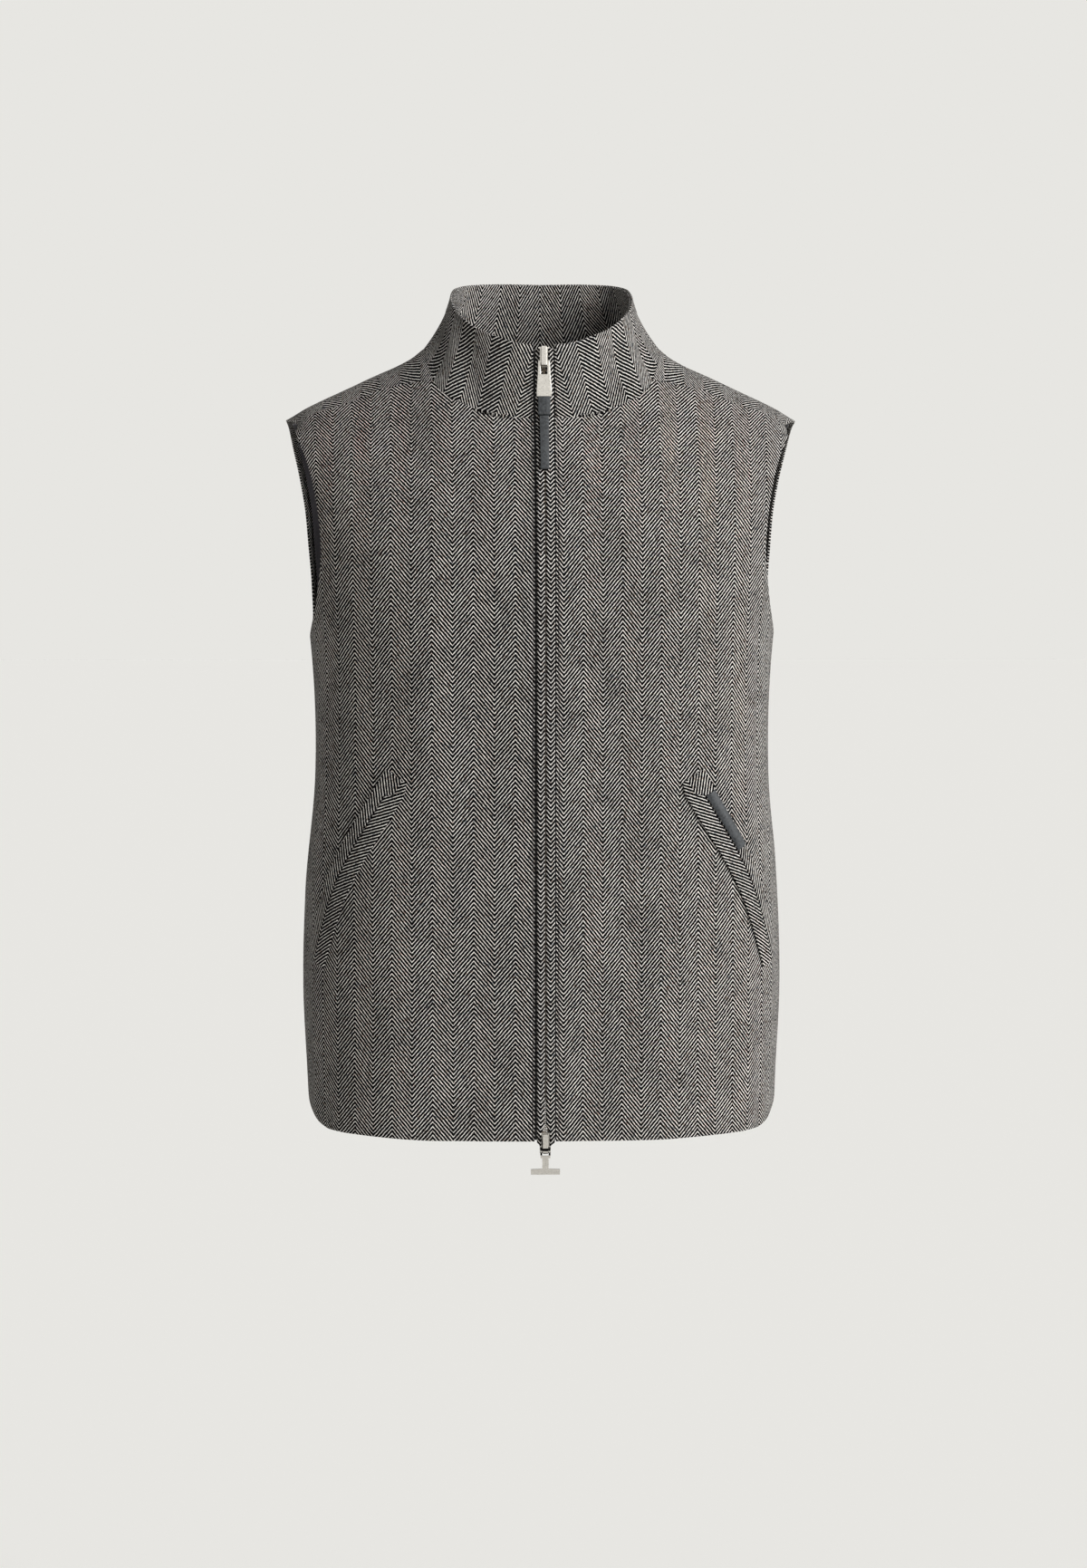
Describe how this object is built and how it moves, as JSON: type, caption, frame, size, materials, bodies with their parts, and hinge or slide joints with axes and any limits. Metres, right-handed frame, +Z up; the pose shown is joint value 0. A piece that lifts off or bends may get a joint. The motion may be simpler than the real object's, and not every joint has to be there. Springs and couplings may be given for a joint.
{
  "type": "zip gilet",
  "caption": "Sleeveless zip gilet in herringbone wool with a stand collar, slanted welt pockets and a two-way zip under cloth lips, in its worn shape with open neck, armholes and hem.",
  "frame": {"origin": "middle of the neck opening, level with the tops of the shoulders, where the wearer's shoulders carry the garment", "axes": "+Z up along the body, +X to the wearer's left, -Y to the wearer's front, where the zip is"},
  "size_m": [0.4508, 0.2409, 0.7699],
  "materials": {
    "wool": "woven herringbone wool, matt",
    "facing_wool": "woven herringbone wool, matt",
    "lining": "plain woven lining, slightly glossy",
    "tape": "woven zip tape",
    "nickel": "satin nickel",
    "leather": "smooth, grey, half matt"
  },
  "bodies": {
    "garment": {"front_left": "wool", "front_right": "wool", "back": "wool", "collar": "wool", "zip_lip_left": "wool", "zip_lip_right": "wool", "pocket_front_welt_left": "wool", "pocket_front_welt_right": "wool", "pocket_side_welt_left": "wool", "pocket_side_welt_right": "wool", "collar_facing": "facing_wool", "lining_front_left": "lining", "lining_front_right": "lining", "lining_back": "lining", "zip_tape_left": "tape", "zip_tape_right": "tape", "slider_top": "nickel", "slider_bottom": "nickel", "pocket_tab": "leather"},
    "top_pull": {"pull_plate": "nickel", "pull_fold": "leather", "pull_strap": "leather"},
    "bottom_pull": {"pull_bar": "nickel"}
  },
  "joints": [
    {"name": "top_pull_hinge", "type": "hinge", "parent": "garment", "child": "top_pull", "pos_m": [0, -0.0749, 0.01406], "axis": [-1, 0, 0], "range_deg": [0, 130]},
    {"name": "bottom_pull_hinge", "type": "hinge", "parent": "garment", "child": "bottom_pull", "pos_m": [0, -0.11542, -0.65627], "axis": [-1, 0, 0], "range_deg": [0, 130]}
  ]
}
